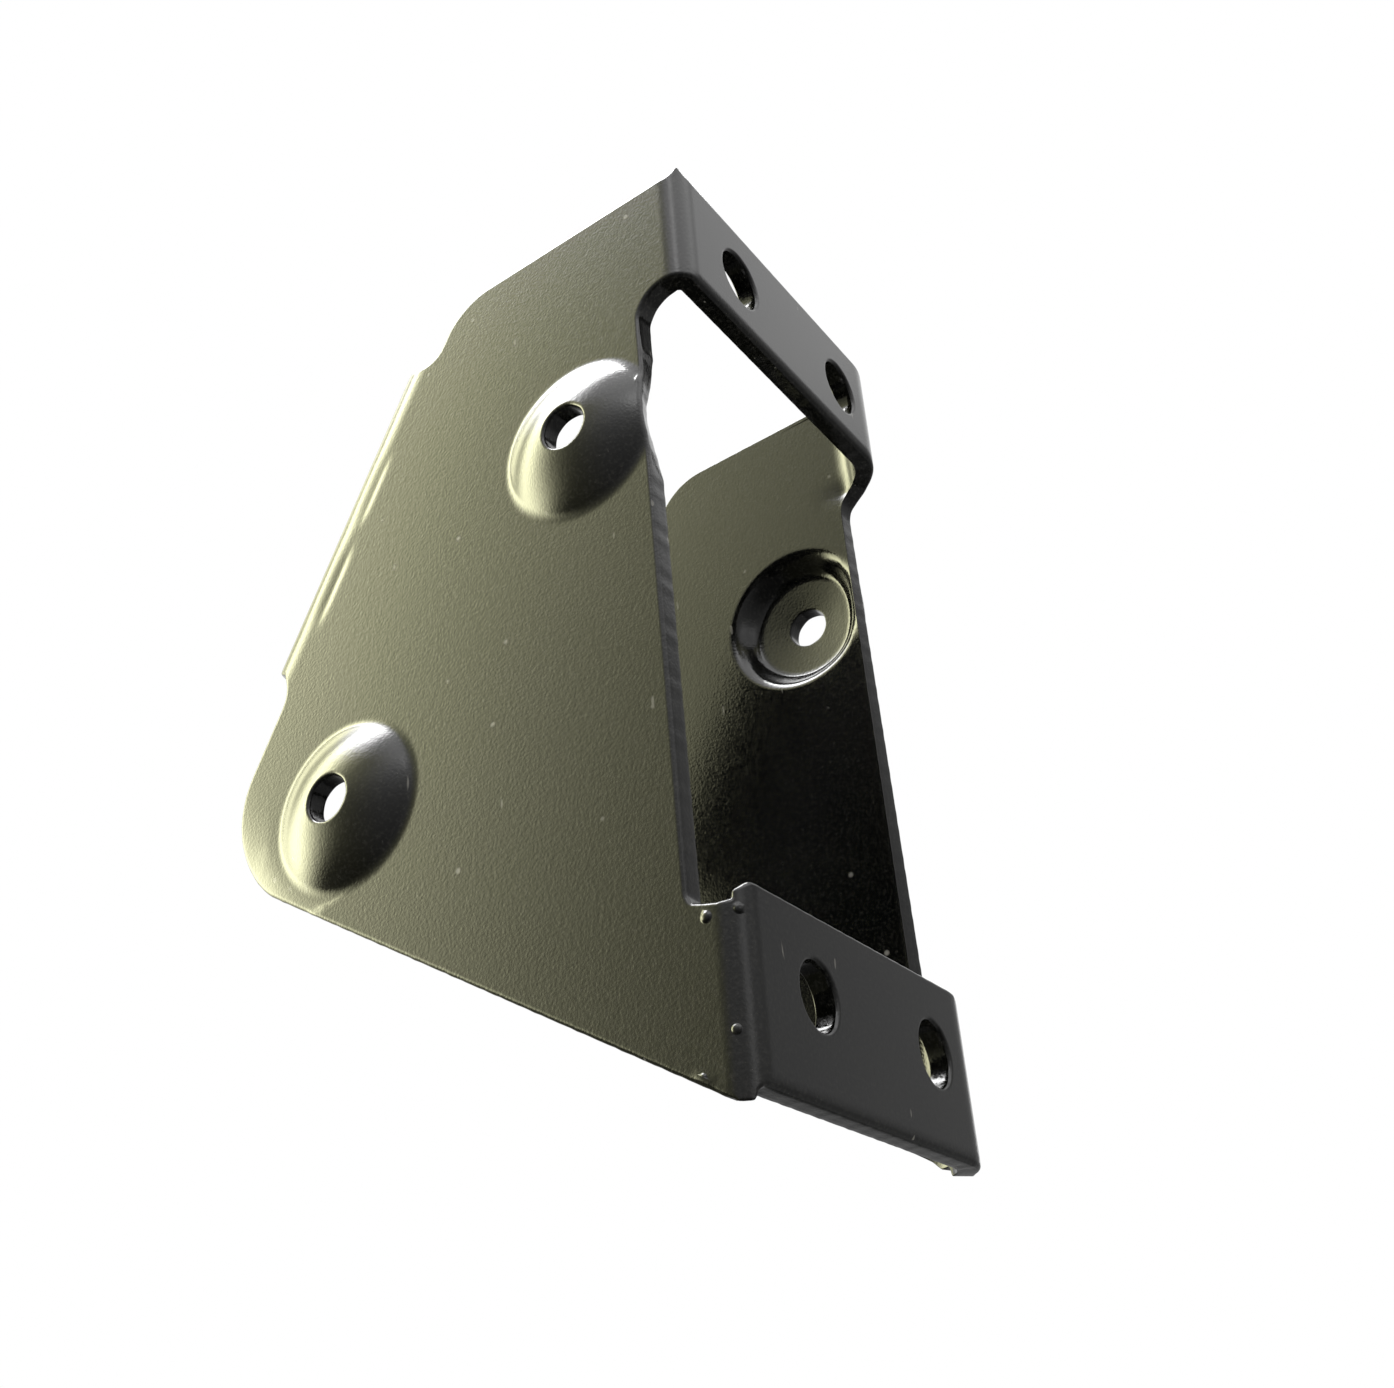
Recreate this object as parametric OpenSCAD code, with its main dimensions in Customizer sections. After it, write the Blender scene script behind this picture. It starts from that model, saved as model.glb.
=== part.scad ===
// Stamped metal bracket: one sheet folded into a channel with an open window in its front web,
// two mirrored side walls with domed screw seats, and an inward flange on the back of each wall.

/* [Sheet] */

// Thickness of the steel sheet
sheet_t = 2.5; // [2:0.1:3.2]
// Inside radius of the left web bend and of both back flange bends
tight_bend_r = 0.4; // [0.3:0.1:2]
// Inside radius of the right web bend, which was folded over a rounder tool
open_bend_r = 4.5; // [1:0.1:5]

/* [Web] */

// Width over the outside of both side walls
body_w = 49; // [46:0.5:80]
// Height of the front web
body_h = 106; // [98:0.5:130]
// Height of the strip above the window
upper_strip_h = 15.6; // [13:0.2:22]
// Height of the strip below the window
lower_strip_h = 18.4; // [15:0.2:26]
// Radius of the window corners, which run into the side walls
window_corner_r = 4; // [2:0.1:7]
// Depth of the window edge behind the web face at the lower strip
window_depth_low = 5.6; // [4.8:0.1:9]
// Depth of the window edge behind the web face at the upper strip
window_depth_high = 6.7; // [4.8:0.1:9]
// Height of the relief step that lets the lower strip fold past the walls
relief_h = 1.6; // [0.6:0.1:3]
// How far the squeezed metal of the tight bend reaches below the web
foot_drop = 1.35; // [0.3:0.05:2]
// Depth behind the web face where that foot starts to fade into the wall
foot_back = 2.7; // [2.3:0.1:4]
// Distance inwards from the outer face of the wall where that foot starts to fade into the web
foot_side = 2.3; // [1.5:0.1:2.3]
// How far the squeezed metal of the tight bend reaches above the web
peak_rise = 1.4; // [0.2:0.1:2]
// Height of the notch under the open bend, behind the end of the web
notch_h = 1.1; // [0.4:0.1:2]
// Depth behind the web face where that notch starts
notch_start = 2.8; // [2.6:0.1:3.6]

/* [Web holes] */

// Diameter of the four screw holes in the web
web_hole_d = 7; // [4:0.1:8]
// Distance between the two holes of a strip
web_pitch_x = 24; // [20:0.5:26]
// Distance of the upper pair of holes below the top of the web
upper_hole_drop = 7.9; // [6:0.1:10]
// Height of the lower pair of holes above the bottom of the web
lower_hole_z = 10.1; // [8:0.1:12]

/* [Side walls] */

// Drop of the top edge for each millimetre towards the back
top_fall = 0.07; // [0:0.01:0.12]
// Depth at which the back line of the flange would cross the top of the web
back_top_y = 38.3; // [34:0.5:60]
// Lean of the back line from upright, in degrees
back_lean = 28.8; // [20:0.5:34]
// Depth below the web at which the bottom edge of the left wall would meet the web face
bottom_start = 2.65; // [1:0.05:4]
// The same depth for the right wall, whose bottom edge ends higher
open_bottom_start = 1.9; // [1.2:0.05:4]
// Rise of the bottom edge towards the back, in degrees
bottom_rise = 31.1; // [24:0.5:35]
// Radius of the upper back corner
crown_r = 8.5; // [4:0.5:10]
// Radius of the lower back corner
heel_r = 12; // [6:0.5:14]

/* [Back flanges] */

// Width of a flange, measured from the outside of its wall
flange_w = 12; // [8:0.5:18]
// Length of a flange along the back line
flange_len = 41; // [30:0.5:46]
// Distance along the back line from the top of the web to the flange
flange_start = 8.4; // [7:0.1:12]
// Radius of the two free corners of a flange
flange_corner_r = 3; // [1:0.5:5]
// Step from the flange face down to the wall edge above it
upper_step = 6.1; // [5:0.1:8]
// Step from the flange face down to the wall edge below it
lower_step = 5.3; // [4.6:0.1:8]
// Radius of the relief at the upper end of a flange
upper_relief_r = 3.5; // [2:0.1:4]
// Radius of the relief at the lower end of a flange
lower_relief_r = 5; // [2:0.1:6]

/* [Screw seats] */

// Radius of a domed seat at its foot
seat_r = 9.9; // [8:0.1:11]
// Height of a seat over the wall
seat_h = 3.3; // [2.4:0.1:4.5]
// Height of the flank around a seat
seat_flank_h = 1.5; // [0.8:0.1:2]
// Width of that flank, seen from the side
seat_flank_run = 1.6; // [1:0.1:2]
// Radius of the lip that leads into the hollow behind a seat
seat_lip_r = 3; // [2:0.1:4]
// How much wider in radius that lip starts than the foot of the seat
seat_lip_out = 0.7; // [0.3:0.1:1]
// How far the forming pulls the inner edge of the window back beside the upper seat
edge_pull = 0.9; // [0.3:0.1:1.2]
// Length of the pulled stretch of that edge
edge_pull_len = 16.4; // [12:0.1:18]
// Diameter of the screw hole in a seat
seat_hole_d = 5.5; // [4:0.1:7]
// Depth of the upper seat behind the web face
upper_seat_y = 15.3; // [12:0.1:18]
// Distance of the upper seat below the top of the web
upper_seat_drop = 32; // [28:0.5:40]
// Depth of the lower seat behind the web face
lower_seat_y = 48.1; // [44:0.1:50]
// Height of the lower seat above the bottom of the web
lower_seat_z = 40.3; // [38:0.1:46]

/* [Hidden] */

$fn = 96;
arc_step = 9;
crown_step = 2.5;
lip_step = 6;
foot_fade = 0.5;
foot_step = 0.4;
peak_fade = 2.3;
peak_side = 2.2;
notch_run = 0.4;
past = 1;
paint = [0.16, 0.16, 0.14];

tight_outer_r = tight_bend_r + sheet_t;
tight_mid = tight_outer_r * (1 - cos(45));
open_outer_r = open_bend_r + sheet_t;
window_bottom_z = lower_strip_h;
window_top_z = body_h - upper_strip_h;
ledge_z = lower_strip_h - relief_h;
web_pitch_z = body_h - upper_hole_drop - lower_hole_z;
pattern_z = lower_hole_z + web_pitch_z / 2;
upper_seat_z = body_h - upper_seat_drop;

// Points of an arc about a centre, from one angle to another, the ends included
function arc_points(centre, r, from, to, step = arc_step) =
    let (steps = max(2, ceil(abs(to - from) / step)))
    [for (i = [0:steps])
        let (a = from + (to - from) * i / steps)
        centre + r * [cos(a), sin(a)]];

// Where two lines meet, each given by a point and a direction
function meet(p, u, q, v) =
    p + u * ((q[0] - p[0]) * v[1] - (q[1] - p[1]) * v[0]) / (u[0] * v[1] - u[1] * v[0]);

// Centre of the round in a corner whose edges leave it along u and v
function round_centre(corner, u, v, r) =
    corner + (u + v) / norm(u + v) * r / sin(acos(u * v) / 2);

// The wall outline is drawn with depth behind the web first and height second
back_along = [sin(back_lean), -cos(back_lean)];
back_out = [cos(back_lean), sin(back_lean)];
function back_point(along, out) = [back_top_y, body_h] + along * back_along + out * back_out;

top_angle = -atan(top_fall);
top_dir = [cos(top_angle), sin(top_angle)];
bottom_dir = [cos(bottom_rise), sin(bottom_rise)];
top_start = [0, body_h];
function low_start(tight) = tight ? bottom_start : open_bottom_start;
function top_z(y) = body_h + y * tan(top_angle);
function bottom_z(y) = y * tan(bottom_rise) - bottom_start;

crown_corner = meet(top_start, top_dir, back_point(0, -upper_step), back_along);
crown_centre = round_centre(crown_corner, -top_dir, back_along, crown_r);
function heel_centre(tight) =
    round_centre(meet([0, -low_start(tight)], bottom_dir, back_point(0, -lower_step), back_along),
        -bottom_dir, -back_along, heel_r);

// Each relief is an arc from the free edge of the wall to the bend line of the flange
upper_relief_in = upper_step - upper_relief_r;
upper_relief_reach = sqrt(pow(upper_relief_r, 2) - pow(tight_outer_r - upper_relief_in, 2));
upper_relief_centre = back_point(flange_start - upper_relief_reach, -upper_relief_in);
upper_relief_end = atan2(upper_relief_in - tight_outer_r, upper_relief_reach);
lower_relief_in = lower_step - lower_relief_r;
lower_relief_reach = sqrt(pow(lower_relief_r, 2) - pow(tight_outer_r - lower_relief_in, 2));
lower_relief_centre = back_point(flange_start + flange_len + lower_relief_reach, -lower_relief_in);
lower_relief_end = -180 - atan2(lower_relief_in - tight_outer_r, lower_relief_reach);
along_angle = back_lean - 90;

// Lower edge of the sheet beside the web, with a foot under a tight bend or a notch under an open one
function front_low(tight) = tight ?
    [[-past, -foot_drop], [foot_back, -foot_drop],
        [foot_back + foot_fade, bottom_z(foot_back + foot_fade)]] :
    [[-past, 0], [notch_start, 0], [notch_start + notch_run, notch_h],
        [(notch_h + open_bottom_start) / tan(bottom_rise), notch_h]];

// Upper edge of the sheet beside the web, with a peak in the middle of a tight bend
function front_high(tight) = tight ?
    [[peak_fade, top_z(peak_fade)], [tight_mid, body_h + peak_rise], [-past, body_h + peak_rise]] :
    [[0, body_h], [-past, body_h]];

// Outline of a side wall from in front of its web bend to its back edge
module wall_outline(tight) {
    polygon(concat(
        front_low(tight),
        arc_points(heel_centre(tight), heel_r, bottom_rise - 90, back_lean),
        arc_points(lower_relief_centre, lower_relief_r, along_angle - 90, along_angle + lower_relief_end),
        arc_points(upper_relief_centre, upper_relief_r, along_angle + upper_relief_end, along_angle - 90),
        arc_points(crown_centre, crown_r, back_lean, top_angle + 90),
        front_high(tight)
    ));
}

// Lays a drawing of the wall plane upright, so that its thickness runs inwards from the outer face
module in_wall() {
    translate([-body_w / 2, 0, 0])
        rotate([90, 0, 90])
            children();
}

// Half of a web bend, from the plane of the left wall to the middle of the bend
module half_bend(inner_r, low, high) {
    translate([0, 0, low])
        rotate([0, 0, 180])
            rotate_extrude(angle = 45)
                translate([inner_r, 0])
                    square([sheet_t, high - low]);
}

// Moves what is drawn about the axis of a web bend to its place in the left corner
module at_bend(inner_r) {
    outer_r = inner_r + sheet_t;
    translate([outer_r - body_w / 2, outer_r, 0])
        children();
}

// Wall with the nearer half of its web bend, trimmed to the outline of the wall
module wall(inner_r, tight) {
    outer_r = inner_r + sheet_t;
    low = -foot_drop - past;
    high = body_h + peak_rise + past;
    intersection() {
        in_wall()
            linear_extrude(outer_r)
                wall_outline(tight);
        union() {
            translate([-body_w / 2, outer_r, low])
                cube([sheet_t, body_h, high - low]);
            at_bend(inner_r)
                half_bend(inner_r, low, high);
        }
    }
}

// Front of a web bend between its middle and the web, where a tight one has a foot and a peak
module corner_outline(outer_r, tight) {
    foot = [[-past, -foot_drop], [foot_side, -foot_drop], [foot_side + foot_step, 0]];
    peak = [[peak_side, body_h], [tight_mid, body_h + peak_rise], [-past, body_h + peak_rise]];
    polygon(concat(
        tight ? foot : [[-past, 0]],
        [[outer_r, 0], [outer_r, body_h]],
        tight ? peak : [[-past, body_h]]
    ));
}

// Half of a web bend, from its middle to the web, trimmed to that outline
module web_half(inner_r, tight) {
    outer_r = inner_r + sheet_t;
    intersection() {
        at_bend(inner_r)
            rotate([0, 0, 90])
                mirror([0, 1, 0])
                    half_bend(inner_r, -foot_drop - past, body_h + peak_rise + past);
        translate([-body_w / 2, outer_r, 0])
            rotate([90, 0, 0])
                linear_extrude(outer_r + past)
                    corner_outline(outer_r, tight);
    }
}

// Flat part of a flange, with its two free corners rounded
module flange_outline(flat_w) {
    polygon(concat(
        [[0, 0], [flange_len, 0]],
        arc_points([flange_len - flange_corner_r, flat_w - flange_corner_r], flange_corner_r, 0, 90),
        arc_points([flange_corner_r, flat_w - flange_corner_r], flange_corner_r, 90, 180)
    ));
}

// Flange turned inwards along the back line of the left wall
module back_flange() {
    in_wall()
        translate(back_point(flange_start, 0))
            rotate([0, 0, along_angle]) {
                translate([0, -tight_outer_r, tight_outer_r])
                    rotate([0, 90, 0])
                        rotate_extrude(angle = 90)
                            translate([tight_bend_r, 0])
                                square([sheet_t, flange_len]);
                translate([0, 0, tight_outer_r])
                    rotate([90, 0, 0])
                        linear_extrude(sheet_t)
                            flange_outline(flange_w - tight_outer_r);
            }
}

// Section of a seat: a spherical crown on a conical flank, with a root that sits in the wall
module seat_section(root) {
    shoulder_r = seat_r - seat_flank_run;
    rise = seat_h - seat_flank_h;
    crown_sphere_r = (pow(shoulder_r, 2) + pow(rise, 2)) / (2 * rise);
    crown_edge = acos(shoulder_r / crown_sphere_r);
    polygon(concat(
        [[0, -root], [seat_r, -root], [seat_r, 0]],
        arc_points([0, seat_h - crown_sphere_r], crown_sphere_r, crown_edge, 90, crown_step)
    ));
}

// Section of the hollow behind a seat: a rounded lip that runs into a sphere as deep as the seat is high
module hollow_section() {
    lip_start = seat_r + seat_lip_out;
    lip_angle = 2 * atan(seat_h / (lip_start));
    sphere_r = lip_start / sin(lip_angle) - seat_lip_r;
    polygon(concat(
        [[0, -past], [lip_start, -past], [lip_start, 0]],
        arc_points([lip_start, seat_lip_r], seat_lip_r, -90 - lip_angle / 4, -90 - lip_angle, lip_step),
        arc_points([0, seat_h - sphere_r], sphere_r, 90 - lip_angle + crown_step, 90, crown_step)
    ));
}

// Places what stands out of the left wall, with height measured outwards from its outer face
module on_seats() {
    for (seat = [[upper_seat_y, upper_seat_z], [lower_seat_y, lower_seat_z]])
        translate([-body_w / 2, seat[0], seat[1]])
            rotate([0, -90, 0])
                children();
}

// Notch that frees the lower strip from the wall, from the middle of the bend backwards
module strip_relief(outer_r) {
    reach = outer_r + past;
    translate([outer_r - body_w / 2, outer_r, ledge_z])
        linear_extrude(relief_h + past)
            polygon([[0, 0], [-reach, -reach], [-reach, window_depth_low - outer_r], [0, window_depth_low - outer_r]]);
}

// Cut that leans the edge of the window back beside the upper seat, where the sheet is drawn into it
module edge_draw() {
    far_r = (pow(edge_pull_len / 2, 2) + pow(edge_pull, 2)) / (2 * edge_pull);
    edge_y = window_depth_low + (window_depth_high - window_depth_low)
        * (upper_seat_z - window_bottom_z) / (window_top_z - window_bottom_z);
    intersection() {
        translate([sheet_t - body_w / 2, edge_y + edge_pull - far_r, upper_seat_z])
            rotate([0, -90, 0])
                cylinder(r1 = far_r, r2 = far_r - edge_pull, h = sheet_t + past);
        translate([-body_w / 2 - seat_h, edge_y - past, upper_seat_z - edge_pull_len])
            cube([sheet_t + seat_h, 3 * past, 2 * edge_pull_len]);
    }
}

// Left side of the bracket, with the web bend that joins it
module side(inner_r, tight) {
    outer_r = inner_r + sheet_t;
    difference() {
        union() {
            wall(inner_r, tight);
            web_half(inner_r, tight);
            back_flange();
            on_seats()
                rotate_extrude()
                    seat_section(sheet_t / 2);
        }
        translate([sheet_t, 0, 0])
            on_seats()
                rotate_extrude()
                    hollow_section();
        on_seats()
            translate([0, 0, -sheet_t - past])
                cylinder(d = seat_hole_d, h = sheet_t + seat_h + 2 * past);
        strip_relief(outer_r);
        edge_draw();
    }
}

// Web between the two bends, before its window is cut
module web() {
    translate([tight_outer_r - body_w / 2, 0, 0])
        cube([body_w - tight_outer_r - open_outer_r, sheet_t, body_h]);
}

// Window through the web and the front of both walls
module window() {
    reach = body_w / 2 + seat_h + past;
    corner = [window_depth_high - window_corner_r, window_top_z - window_corner_r];
    translate([-reach, 0, 0])
        rotate([90, 0, 90])
            linear_extrude(2 * reach)
                polygon(concat(
                    [[-past, window_bottom_z], [window_depth_low, window_bottom_z]],
                    arc_points(corner, window_corner_r, 0, 90),
                    [[-past, window_top_z]]
                ));
}

// Four screw holes through the web
module web_holes() {
    for (x = [-web_pitch_x / 2, web_pitch_x / 2], z = [0, web_pitch_z])
        translate([x, -past, lower_hole_z + z])
            rotate([-90, 0, 0])
                cylinder(d = web_hole_d, h = sheet_t + 2 * past);
}

// The folded sheet, with the middle of the hole pattern on the web face as its origin
module bracket() {
    color(paint)
        translate([0, 0, -pattern_z])
            difference() {
                union() {
                    web();
                    side(tight_bend_r, true);
                    mirror([1, 0, 0])
                        side(open_bend_r, false);
                }
                window();
                web_holes();
            }
}

bracket();
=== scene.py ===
"""Looks of a stamped and folded sheet bracket in glossy black enamel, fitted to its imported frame.

Plans are drawn in millimetres and meshes are made in metres. x runs across the web, y runs from the
face of the web to the back flanges, z runs up, and the origin is the middle of the four web holes.
"""

import logging
from dataclasses import dataclass, field
from enum import Enum

import bpy
import numpy as np
from mathutils import Matrix, Vector
from mathutils.geometry import delaunay_2d_cdt


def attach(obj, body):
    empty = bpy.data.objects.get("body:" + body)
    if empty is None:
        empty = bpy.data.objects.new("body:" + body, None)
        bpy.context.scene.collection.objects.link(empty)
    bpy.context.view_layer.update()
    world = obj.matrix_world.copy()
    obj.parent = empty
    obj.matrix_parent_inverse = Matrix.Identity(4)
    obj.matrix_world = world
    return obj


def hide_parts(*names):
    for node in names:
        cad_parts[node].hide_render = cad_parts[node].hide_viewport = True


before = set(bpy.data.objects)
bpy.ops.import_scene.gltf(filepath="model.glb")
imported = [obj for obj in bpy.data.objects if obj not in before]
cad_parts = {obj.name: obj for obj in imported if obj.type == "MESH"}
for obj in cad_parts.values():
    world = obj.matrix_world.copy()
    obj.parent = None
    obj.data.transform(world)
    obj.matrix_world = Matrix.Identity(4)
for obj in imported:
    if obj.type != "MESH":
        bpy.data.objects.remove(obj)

LOG = logging.getLogger("bracket")
METRE = 0.001
BATCH = 2000
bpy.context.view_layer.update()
Array = np.ndarray
Socket = bpy.types.NodeSocket
Pair = tuple[float, float]
Triple = tuple[float, float, float]


class Side(Enum):
    """The two side walls, by the sign of x on which each stands."""

    LEFT = -1
    RIGHT = 1


def arc(centre: Pair, r: float, start: float, end: float, step: float = 0.4) -> Array:
    """Points of an arc, centre + r (cos a, sin a), with a in degrees from start to end.

    Args:
        centre: Middle of the arc.
        r: Radius of the arc.
        start: First angle.
        end: Last angle, below start for a clockwise arc.
        step: Longest distance between two points.

    Returns:
        An (n, 2) array that holds both ends.
    """
    count = max(3, int(np.ceil(abs(np.radians(end - start)) * r / step)) + 1)
    a = np.radians(np.linspace(start, end, count))
    return np.column_stack([centre[0] + r * np.cos(a), centre[1] + r * np.sin(a)])


def soft_min(a: Array, b: Array, width: float) -> Array:
    """The lesser of a and b, with a parabola over the stretch where they differ by less than width."""
    return np.minimum(a, b) - np.maximum(width - np.abs(a - b), 0.0) ** 2 / (4 * width)


def soft_max(a: Array, b: Array, width: float) -> Array:
    """The greater of a and b, blended in the same way as soft_min."""
    return -soft_min(-a, -b, width)


def bevelled(points: Array, r: float) -> Array:
    """Cuts each corner of a closed outline that turns by more than 20 degrees to a small round.

    A corner is replaced by a quadratic curve from r before it to r behind it, with the corner as its
    middle point: (1-t)^2 before + 2t(1-t) corner + t^2 behind. A short edge gives up a third at most.

    Args:
        points: The closed outline, without its first point again.
        r: How far from a corner its round starts.

    Returns:
        The outline with its rounds.
    """
    before, behind = np.roll(points, 1, 0) - points, np.roll(points, -1, 0) - points
    lb, lf = np.linalg.norm(before, axis=1), np.linalg.norm(behind, axis=1)
    turn = np.einsum("ij,ij->i", before, behind) / (lb * lf)
    sharp = turn > -0.94
    cut_b, cut_f = np.minimum(r, lb / 3), np.minimum(r, lf / 3)
    start = points + before * (cut_b / lb)[:, None]
    end = points + behind * (cut_f / lf)[:, None]
    t = np.linspace(0, 1, 5)[None, :, None]
    curves = (1 - t) ** 2 * start[:, None] + 2 * t * (1 - t) * points[:, None] + t**2 * end[:, None]
    return np.concatenate([curves[i] if sharp[i] else points[i : i + 1] for i in range(len(points))])


def stepped(points: Array, step: float) -> Array:
    """Adds points to a closed outline until no two neighbours are farther apart than step."""
    ahead = np.roll(points, -1, 0) - points
    counts = np.maximum(1, np.ceil(np.linalg.norm(ahead, axis=1) / step).astype(int))
    index = np.repeat(np.arange(len(points)), counts)
    within = np.arange(len(index)) - np.repeat(np.cumsum(counts) - counts, counts)
    return points[index] + ahead[index] * (within / counts[index])[:, None]


def inset(points: Array, distance: Array) -> Array:
    """Moves a closed outline to its left by distance, along the mean of its two edge normals.

    Args:
        points: The closed outline, with the metal on its left.
        distance: One distance for each point.

    Returns:
        The moved outline, mitred at its corners up to twice the distance.
    """
    ahead = np.roll(points, -1, 0) - points
    ahead /= np.linalg.norm(ahead, axis=1)[:, None]
    normal = np.column_stack([-ahead[:, 1], ahead[:, 0]])
    mean = normal + np.roll(normal, 1, 0)
    mean /= np.linalg.norm(mean, axis=1)[:, None]
    mitre = np.clip(np.einsum("ij,ij->i", mean, normal), 0.5, 1.0)
    return points + mean * (distance / mitre)[:, None]


def inside(points: Array, loops: list[Array]) -> Array:
    """Tells which points lie in the metal, by counting crossings of a level ray with every outline.

    Args:
        points: An (n, 2) array.
        loops: The outlines, whose order doesn't matter.

    Returns:
        A boolean array of length n.
    """
    a = np.concatenate(loops)
    b = np.concatenate([np.roll(loop, -1, 0) for loop in loops])
    result = np.zeros(len(points), bool)
    for first in range(0, len(points), BATCH):
        p = points[first : first + BATCH]
        spans = (a[None, :, 1] > p[:, 1:]) != (b[None, :, 1] > p[:, 1:])
        rise = np.where(b[:, 1] == a[:, 1], 1.0, b[:, 1] - a[:, 1])
        cross = a[None, :, 0] + (p[:, 1:] - a[None, :, 1]) * ((b[:, 0] - a[:, 0]) / rise)[None]
        result[first : first + BATCH] = (spans & (cross > p[:, :1])).sum(1) % 2 == 1
    return result


def clear_of(points: Array, others: Array, gap: float) -> Array:
    """Tells which points lie farther than gap from every one of the others."""
    result = np.ones(len(points), bool)
    for first in range(0, len(points), BATCH):
        p = points[first : first + BATCH]
        square = ((p[:, None] - others[None]) ** 2).sum(2)
        result[first : first + BATCH] = square.min(1) > gap**2
    return result


def placed(name: str, data: bpy.types.ID) -> bpy.types.Object:
    """Makes an object and links it to the scene."""
    made = bpy.data.objects.new(name, data)
    bpy.context.scene.collection.objects.link(made)
    return made


@dataclass(frozen=True)
class Sizes:
    """Sizes of the folded sheet, in millimetres, with heights above the bottom of the web.

    Angles are in degrees. The tuples hold, in order:

    - holes: place across the web, height and radius of each web hole;
    - notch: depth and height of the corners of the small step under the open bend;
    - peak and foot: angle in the tight bend, and height against the top or bottom of the web;
    - ledge: depth and height of the corners at the foot of the window;
    - flange: start along the back line, length, width and corner round;
    - fold: length of a flange fold's oval along the wall, and its length inwards;
    - heel_bow: depth, reach, the way it faces and its spread about that way;
    - flare: depth, reach along the sheet, bend angle in radians where it starts, drop, and how far
      behind the open bend it ends and fades;
    - roll: depth and reach of the die roll, its share on the upper strip and its fading in a bend;
    - foot_tuck: lift of the foot's inner face, and the height and length over which it grows.
    """

    sheet: float = 2.5
    width: float = 49.0
    height: float = 106.0
    tight_r: float = 2.9
    open_r: float = 7.0
    pattern: float = 54.1
    holes: tuple[Triple, ...] = (
        (-11.9, 10.35, 3.3), (11.75, 10.15, 3.4), (-12.1, 98.15, 3.6), (12.0, 98.1, 3.5),
    )
    window_high: float = 90.4
    window_corner: float = 4.0
    window_depth: float = 6.7
    ledge: tuple[Pair, ...] = (
        (0.15, 18.4), (1.2, 17.35), (1.32, 16.6), (2.7, 16.5), (5.3, 17.1), (5.6, 18.0),
    )
    notch: tuple[Pair, ...] = ((0, 0), (2.8, 0), (3.2, 1.1))
    peak: tuple[Pair, ...] = (
        (0, 0.0), (10, 0.12), (20, 0.38), (29, 0.8), (35, 1.12), (40, 1.28), (45, 1.22), (50, 0.95),
        (57, 0.55), (66, 0.12), (75, -0.18),
    )
    foot_start: float = 88.0
    foot: tuple[Pair, ...] = (
        (80, -1.08), (72, -1.34), (45, -1.34), (38, -0.9), (32, -0.35), (22, -0.08), (8, -0.02),
    )
    top_fall: float = 0.07
    back_y: float = 38.3
    back_lean: float = 28.8
    bottom_start: float = 2.65
    open_bottom_start: float = 1.9
    bottom_rise: float = 31.1
    crown: float = 8.5
    heel: float = 12.0
    flange: tuple[float, float, float, float] = (8.4, 41.0, 12.0, 3.0)
    fold: Pair = (4.8, 2.9)
    heel_bow: tuple[float, float, float, float] = (0.8, 5.8, -40.0, 35.0)
    upper_step: float = 6.1
    lower_step: float = 5.3
    upper_relief: float = 3.5
    lower_relief: float = 5.0
    flare: tuple[float, float, float, float, float, float] = (0.5, 3.0, 0.45, 0.5, 2.5, 3.5)
    roll: tuple[float, float, float, float] = (0.45, 1.3, 0.8, 2.0)
    foot_tuck: Triple = (0.85, 0.3, 1.5)


@dataclass(frozen=True)
class Spacing:
    """Distances between the mesh points on the blank, in millimetres, and angles in degrees.

    A range is (start, end, step), in millimetres round a seat and in radii round a bead.
    """

    rim: float = 0.8
    window: float = 0.6
    hole: float = 0.3
    round: float = 0.8
    crown: float = 0.7
    rim_bevel: float = 0.35
    window_bevel: float = 0.3
    seat_rings: tuple[Triple, ...] = ((3.5, 6.9, 0.5), (7.0, 10.9, 0.18))
    seat_outer_rings: tuple[float, ...] = (11.2, 11.7, 12.4)
    seat_edge: float = 12.9
    ring_angle: float = 3.0
    bead_rings: Triple = (0.15, 1.35, 0.15)
    tight_angle: float = 6.0
    open_angle: float = 4.0
    bend_margin: float = 0.25
    column: float = 0.6
    roll_rows: tuple[float, ...] = (0.7, 0.85, 1.0, 1.2)
    roll_step: float = 0.7
    fold_before: Triple = (-0.44, -0.02, 0.05)
    fold_columns: int = 14
    fold_after: float = 1.04
    grid: float = 1.9
    grid_gap: float = 0.9
    rim_gap: float = 0.28


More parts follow.
